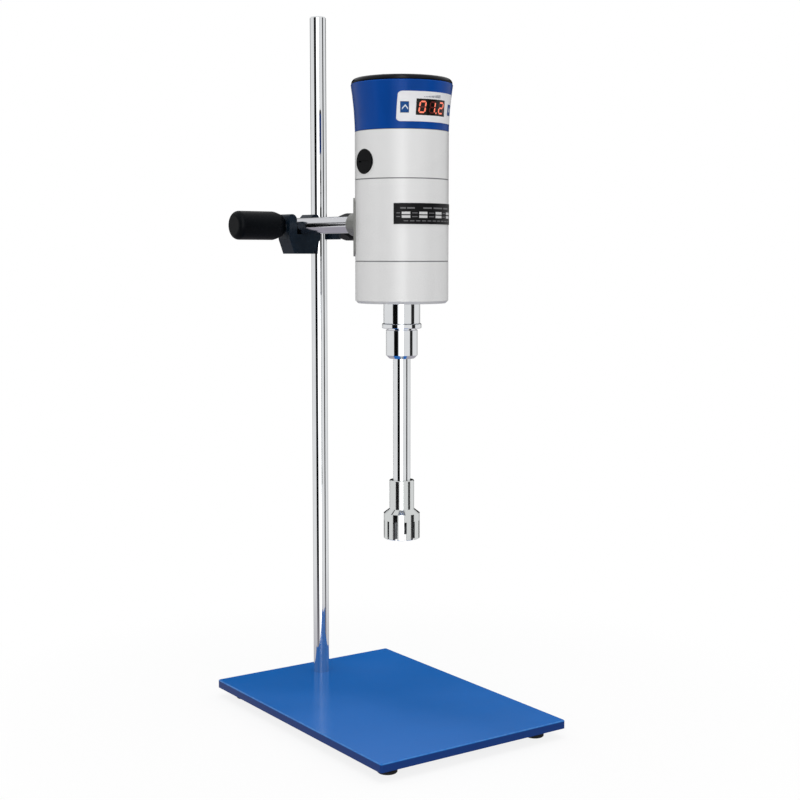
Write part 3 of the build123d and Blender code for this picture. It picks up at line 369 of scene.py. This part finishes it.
head_top = (*HEAD_AXIS, 0.0)
CHROME = linear(232, 234, 236)
finishes = {
    "plate": plate_enamel(),
    "powder_coat": housing_paint(),
    "shell": shell_blue(),
    "cover": cover_gloss(),
    "boss": cast_enamel(),
    "knob": knob_plastic(),
    "rod": turned_metal("polished_rod_chrome", CHROME, (*ROD_AXIS, 0), (0.04, 0.04, 0.5),
                        rough=(0.03, 0.07)),
    "arm": turned_metal("polished_arm_chrome", linear(214, 215, 220), (0, 0, ARM_LEVEL),
                        (0.5, 0.04, 0.04), rough=(0.08, 0.15)),
    "tool": turned_metal("polished_tool_steel", CHROME, head_top, (0.06, 0.06, 1.0),
                         rough=(0.03, 0.08)),
    "stator": turned_metal("ground_stator_steel", linear(222, 225, 224), head_top,
                           (0.1, 0.1, 1.0), lines=3400, rough=(0.08, 0.15), depth=0.000003),
    "rotor": turned_metal("dull_rotor_steel", linear(96, 98, 100), head_top, (0.1, 0.1, 1.0),
                          lines=3400, rough=(0.26, 0.36), depth=0.000003),
    "screw": turned_metal("zinc_screw_steel", linear(176, 178, 180), (0, 0, 0), (1, 1, 1),
                          lines=2600, rough=(0.22, 0.36), depth=0.000008),
    "saddle": brushed_metal("saddle_grey_metal", linear(140, 141, 138), (1.0, 1.0, 0.1),
                            Metallic=0.55),
    "alloy": brushed_metal("cast_alloy", linear(176, 178, 180), (1.0, 1.0, 0.3)),
    "rubber": foot_rubber(),
    "fascia": fascia_film(),
    "key": moulded("blue_key_cap", linear(14, 72, 138), grain=0.000010, rough=(0.3, 0.4),
                   Specular_IOR_Level=0.15),
    "lens": lens_finish(),
    "rating": plate_anodised(),
    "black": moulded("black_moulding", linear(26, 27, 29), grain=0.00003,
                     rough=(0.38, 0.52)),
    "gloss_black": moulded("brush_cap_black", linear(5, 6, 8), grain=0.000004,
                           rough=(0.25, 0.34), Specular_IOR_Level=0.06),
    "sheets": stacked_steel(),
    "copper": copper_turns(),
    "board": board_laminate(),
    "carbon": moulded("pressed_carbon", linear(38, 38, 40), grain=0.00006, rough=(0.6, 0.75)),
    "phenolic": moulded("brown_phenolic", linear(96, 58, 32), grain=0.00003,
                        rough=(0.4, 0.55)),
    "ptfe": moulded("turned_ptfe", linear(228, 228, 224), grain=0.00002, rough=(0.35, 0.48)),
}

worn_by = {
    "plate": "base_plate",
    "powder_coat": "lower_housing middle_housing upper_housing",
    "shell": "control_housing",
    "cover": "top_cover",
    "boss": "boss_head_body",
    "knob": "arm_clamp_knob rod_clamp_knob",
    "rod": "support_rod",
    "arm": "support_arm",
    "tool": "spindle_nose lock_ring tool_collar tool_tube",
    "stator": "stator_head",
    "rotor": "rotor",
    "screw": "foot_screws rod_screw arm_clamp_screw rod_clamp_screw saddle_screws"
             " arm_set_screw housing_bolts cover_screws bracket_screws shaft_bearings"
             " brush_springs motor_shaft drive_coupling tool_shaft rotor_nut",
    "saddle": "rear_saddle",
    "alloy": "triac_heatsink bearing_bracket",
    "rubber": "rubber_feet",
    "fascia": "panel_fascia",
    "key": "up_button down_button",
    "lens": "display_window",
    "rating": "rating_plate",
    "black": "cable_gland display_module key_switches switch_body power_rocker"
             " filter_capacitor cooling_fan",
    "gloss_black": "brush_caps",
    "sheets": "field_core armature_core",
    "copper": "field_coils armature_windings commutator",
    "board": "control_board power_board",
    "carbon": "carbon_brushes",
    "phenolic": "brush_holders",
    "ptfe": "tool_bushes shaft_seal",
}
for finish_name, wearers in worn_by.items():
    for wearer in wearers.split():
        for slot in nodes[wearer].material_slots:
            slot.material = finishes[finish_name].material


# ------------------------------------------------------------------ marks on the head

def on_head(points):
    """Turns points from the head's own frame into the part's."""
    turned = points @ np.array(Matrix.Rotation(HEAD_TURN, 3, "Z")).T
    return turned + np.array((*HEAD_AXIS, HEAD_FOOT))


def flare_radius(level):
    """The flared wall's radius: a straight cone less a swell that is greatest half way up."""
    up = (level - FLARE_LOW) / (FLARE_HIGH - FLARE_LOW)
    return HOUSING_RADIUS + up * (CROWN_RADIUS - HOUSING_RADIUS) - 4 * CROWN_SWELL * up * (1 - up)


def on_flare(across, level, lift):
    """Lays flat artwork on the flared wall: across is measured sideways from the middle
    of the panel and so becomes the sine of the angle, and lift is the height above the wall."""
    radius = flare_radius(level) + lift
    return np.stack([np.sqrt(np.maximum(radius ** 2 - across ** 2, 0)), across, level], -1)


def on_barrel(across, level, lift):
    """Lays flat artwork round the straight housing: across is an arc length."""
    radius = HOUSING_RADIUS + lift
    return np.stack([radius * np.cos(across / radius), radius * np.sin(across / radius), level],
                    -1)


def piece(name, points, faces, finish, body):
    """Makes one mesh piece that rides on a body."""
    mesh = bpy.data.meshes.new(name)
    mesh.from_pydata(points.reshape(-1, 3).tolist(), [], faces.tolist())
    mesh.materials.append(finish.material)
    made = bpy.data.objects.new(name, mesh)
    bpy.context.scene.collection.objects.link(made)
    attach(made, body)
    return made


def sheet_faces(rows, columns, start=0):
    """Quads of a grid of rows by columns points."""
    corner = np.arange(rows * columns).reshape(rows, columns)
    quads = np.stack([corner[:-1, :-1], corner[:-1, 1:], corner[1:, 1:], corner[1:, :-1]], -1)
    return quads.reshape(-1, 4) + start


def printed(name, outlines, wrap, lift, finish, body, columns=9):
    """Flat four-cornered shapes laid on a curved wall. Each is given by its corners, bottom
    left, bottom right, top right, top left, seen from outside, in millimetres, and is filled
    by moving in even steps from its left side to its right and from its bottom to its top."""
    across, up = np.linspace(0, 1, columns), np.linspace(0, 1, 5)
    points, faces = [], []
    for outline in outlines:
        a, b, c, d = (np.array(corner) / 1000 for corner in outline)
        s, t = across[None, :, None], up[:, None, None]
        flat = (1 - t) * ((1 - s) * a + s * b) + t * ((1 - s) * d + s * c)
        faces.append(sheet_faces(len(up), columns, start=sum(len(p) for p in points)))
        points.append(on_head(wrap(flat[..., 0], flat[..., 1], lift)).reshape(-1, 3))
    return piece(name, np.concatenate(points), np.concatenate(faces), finish, body)


def cell(left, bottom, width, height):
    return [(left, bottom), (left + width, bottom), (left + width, bottom + height),
            (left, bottom + height)]


# Seven-segment digits: long six-sided bars, cut here in two halves along their middle.
DIGIT_WIDTH, DIGIT_HEIGHT, BAR, LEAN = 5.4, 9.2, 1.3, 0.12
WINDOW_LEVEL = 172.6
HALF_DIGIT, SEGMENT_GAP = DIGIT_HEIGHT / 2, 0.28
SEGMENTS = {"a": (0, 2 * HALF_DIGIT, DIGIT_WIDTH, 2 * HALF_DIGIT),
            "g": (0, HALF_DIGIT, DIGIT_WIDTH, HALF_DIGIT),
            "d": (0, 0, DIGIT_WIDTH, 0),
            "f": (0, HALF_DIGIT, 0, 2 * HALF_DIGIT),
            "b": (DIGIT_WIDTH, HALF_DIGIT, DIGIT_WIDTH, 2 * HALF_DIGIT),
            "e": (0, 0, 0, HALF_DIGIT),
            "c": (DIGIT_WIDTH, 0, DIGIT_WIDTH, HALF_DIGIT)}
LIT = {0: "abcdef", 1: "bc", 2: "abged"}


def segment(bar, left):
    """One segment as two trapezia that meet along its middle line, leaning to the right."""
    x0, y0, x1, y1 = SEGMENTS[bar]
    along = np.array((x1 - x0, y1 - y0)) / np.hypot(x1 - x0, y1 - y0)
    side = np.array((-along[1], along[0])) * BAR / 2
    start = np.array((x0, y0)) + along * SEGMENT_GAP
    end = np.array((x1, y1)) - along * SEGMENT_GAP
    inset = along * BAR / 2
    halves = [(start, end, end - inset + side, start + inset + side),
              (start + inset - side, end - inset - side, end, start)]
    foot = np.array((left, WINDOW_LEVEL - HALF_DIGIT))
    return [[foot + p + (LEAN * p[1], 0) for p in half] for half in halves]


DIGIT_STARTS = (-13.4, -3.2, 7.4)
lit, unlit = [], []
for digit, left in enumerate(DIGIT_STARTS):
    for bar in SEGMENTS:
        (lit if bar in LIT[digit] else unlit).extend(segment(bar, left))
dot = (3.7, WINDOW_LEVEL - HALF_DIGIT - 0.1)
lit.append([(dot[0], dot[1] - 0.6), (dot[0] + 1.3, dot[1] - 0.6),
            (dot[0] + 1.4, dot[1] + 0.7), (dot[0] + 0.1, dot[1] + 0.7)])

red = glow("lit_red_segment", linear(255, 92, 62), 1.0, linear(255, 170, 140))
# The unlit segments are made to glow a faint dark red: painted glow, as an unlit segment gives no
# light.
unlit_painted_glow = glow("unlit_red_segment_painted_glow", linear(66, 8, 6), 1.0, linear(84, 12, 8))
LENS_FACE = 0.0002
INK_LIFT = 0.00005
printed("display_digits", lit, on_flare, LENS_FACE + 0.00006, red, "head")
printed("display_unlit_segments", unlit, on_flare, LENS_FACE + 0.00004, unlit_painted_glow, "head")

white_ink = ink("white_key_ink", linear(226, 234, 242))
grey_ink = ink("grey_panel_ink", linear(72, 80, 104))
plate_ink = ink("white_plate_ink", linear(222, 222, 222))
dim_ink = ink("dim_plate_ink", linear(112, 112, 114))
BUTTON_ANGLE = radians(34.9)
BUTTON_LEVEL = 172.2
KEY_FACE = 0.0006
for mark, body, side, way in (("up_key_arrow", "up_key", -1, 1),
                              ("down_key_arrow", "down_key", 1, -1)):
    middle = side * sin(BUTTON_ANGLE) * flare_radius(BUTTON_LEVEL / 1000) * 1000
    reach, rise, thick = 2.2, 2.3, 1.5 * way
    tip, tail = BUTTON_LEVEL + way * rise, BUTTON_LEVEL - way * rise
    halves = [[(middle - reach, tail), (middle, tip - thick), (middle, tip),
               (middle - reach, tail + thick)],
              [(middle, tip - thick), (middle + reach, tail), (middle + reach, tail + thick),
               (middle, tip)]]
    printed(mark, halves, on_flare, KEY_FACE + 0.00006, white_ink, body, 5)

# A plain rising row of bars above the display stands for slow to fast.
FILM_FACE = 0.0003
bars = [cell(x, 181.0, 0.8, 0.5 + 0.2 * i) for i, x in enumerate(np.arange(-9.2, 9.2, 1.55))]
printed("speed_bars", bars, on_flare, FILM_FACE + INK_LIFT, grey_ink, "head", 3)

# Rating plate: two rows of blank cells, each after a plain dash, under a broken head line
# and over a row of dashes.
PLATE_FACE = 0.0005
CELL_ROWS = (76.2, 79.4)
CELLS = ((-28.7, 7.6), (-12.9, 8.1), (4.6, 8.4), (21.6, 9.6))
DASHES = ((-33.4, 3.4), (-19.4, 5.0), (-3.2, 6.2), (14.6, 5.4))
cells = [cell(x, level, width, 2.2) for level in CELL_ROWS for x, width in CELLS]
dashes = [cell(x, level + 0.7, width, 0.8) for level in CELL_ROWS for x, width in DASHES]
dashes += [cell(x, 84.2, width, 1.3) for x, width in ((-30, 5), (-24, 7), (-9, 9), (2, 12),
                                                      (16, 10))]
dashes += [cell(x, 73.2, 4.0, 0.8) for x in np.arange(-27.0, 26.0, 5.6)]
printed("rating_plate_cells", cells, on_barrel, PLATE_FACE + INK_LIFT, plate_ink, "head",
        9)
printed("rating_plate_dashes", dashes, on_barrel, PLATE_FACE + INK_LIFT, dim_ink, "head",
        9)


# ------------------------------------------------------------------ floor, light, camera

CAMERA_AT = Vector((1.1368, -0.7656, 0.4511))
CAMERA_RIGHT = Vector((0.5682, 0.8229, 0.0))
CAMERA_UP = Vector((-0.0833, 0.0575, 0.9949))
CAMERA_BACK = Vector((0.8187, -0.5653, 0.1012))
camera = bpy.data.objects.new("camera", bpy.data.cameras.new("camera"))
camera.matrix_world = Matrix.Translation(CAMERA_AT) @ Matrix(
    (CAMERA_RIGHT, CAMERA_UP, CAMERA_BACK)).transposed().to_4x4()
camera.data.lens = 64.53
camera.data.sensor_width = 36
camera.data.sensor_fit = "HORIZONTAL"
camera.data.clip_start = 0.01
bpy.context.scene.collection.objects.link(camera)
bpy.context.scene.camera = camera

world = bpy.data.worlds.new("studio")
world.use_nodes = True
bpy.context.scene.world = world
studio = Shader(world.node_tree)
background = world.node_tree.nodes["Background"]
x, y, z = studio.axes(studio.node("TexCoord", out=0))
front = atan2(CAMERA_BACK.y, CAMERA_BACK.x)
ahead = x * cos(front) + y * sin(front)
aside = y * cos(front) - x * sin(front)
turn = aside.maths("ARCTAN2", ahead) * (180 / pi)


def grey(level):
    return (level,) * 3 + (1.0,)


# What polished metal sees round it, by angle from the camera's side in degrees and by height.
ROOM, STRIP_LIGHT, BACK_WALL, BEHIND_LOW = 0.86, 3.4, 0.46, 0.0
GREY_GAP, BLACK_GAP, RAIL = 0.02, 0.003, 0.16
behind = abs(turn).ramp(125, 160)
low = z.ramp(0.20, 0.65, 1.0, 0.0) * z.ramp(-0.5, -0.3)
seen = studio.mix(turn.ramp(-26, 2) * (turn < 11), grey(ROOM), grey(STRIP_LIGHT))
seen = studio.mix(behind * low, seen, grey(BACK_WALL))
seen = studio.mix(band(turn, 73, 10, 4) * low, seen, grey(GREY_GAP))
seen = studio.mix(band(turn, -42, 15, 3) * low, seen, grey(BLACK_GAP))
seen = studio.mix(band(z, 0.27, 0.05, 0.03), seen, grey(RAIL))
low_behind = behind * z.ramp(0.0, 0.05) * z.ramp(0.30, 0.345, 1.0, 0.0)
seen = studio.mix(low_behind, seen, grey(BEHIND_LOW))
seen = studio.mix(z.ramp(-0.32, -0.2, 1.0, 0.0), seen, linear(176, 172, 180))
rays = studio.node("LightPath")
ray = {out.name: Value(studio, out) for out in rays.socket.node.outputs}
mirrored = ray["Is Glossy Ray"]
plain = ray["Is Camera Ray"].maths("MAXIMUM", ray["Is Transmission Ray"])
SOFT_LEVEL = 0.62
surroundings = studio.mix(mirrored, grey(SOFT_LEVEL), seen)
studio.put(background.inputs["Color"], studio.mix(plain, surroundings, grey(1.0)))


def lamp(name, at, towards, width, height, power):
    light = bpy.data.lights.new(name, "AREA")
    light.shape, light.size, light.size_y, light.energy = "RECTANGLE", width, height, power
    made = bpy.data.objects.new(name, light)
    made.visible_glossy = False
    made.matrix_world = Matrix.Translation(at) @ (
        Vector(towards) - Vector(at)).to_track_quat("-Z", "Y").to_matrix().to_4x4()
    bpy.context.scene.collection.objects.link(made)
    return made


ahead_of = Vector((cos(front), sin(front), 0))
lamp("front_softbox", Vector((0, 0, 0.5)) + ahead_of * 2.6, (0, 0, 0.35), 1.0, 2.2, 23)
lamp("top_softbox", (0.2, -0.1, 2.4), (0, 0, 0), 1.6, 1.6, 17)

FLOOR = 1.6
floor_mesh = bpy.data.meshes.new("floor")
floor_mesh.from_pydata([(-FLOOR, -FLOOR, 0), (FLOOR, -FLOOR, 0), (FLOOR, FLOOR, 0),
                        (-FLOOR, FLOOR, 0)], [], [(0, 1, 2, 3)])
floor = bpy.data.objects.new("floor", floor_mesh)
bpy.context.scene.collection.objects.link(floor)
floor.location.z = -0.0004
floor.visible_glossy = False
paper = Finish("pale_floor", Roughness=0.9, Specular_IOR_Level=0.0)
paper.set(Base_Color=paper.mix(paper.noise(6, 3), linear(150, 150, 150), linear(158, 158, 158)))
white_paper = paper.node("BsdfDiffuse", {"Color": grey(1.0)})
glow_white = paper.node("Emission", {"Color": grey(1.0), "Strength": 1.0})
east, north = paper.axes(paper.place)[:2]
far = (east * east + north * north).ramp(0.05, 0.26, 0.84, 1.0)
looked_at = paper.node("MixShader", {0: far, 1: white_paper, 2: glow_white})
seen_straight = paper.node("MixShader", {0: paper.node("LightPath"), 2: looked_at,
                                         1: Value(paper, paper.shader.outputs[0])})
paper.put(paper.tree.nodes["Material Output"].inputs["Surface"], seen_straight)
floor_mesh.materials.append(paper.material)

bpy.context.scene.view_settings.view_transform = "Standard"
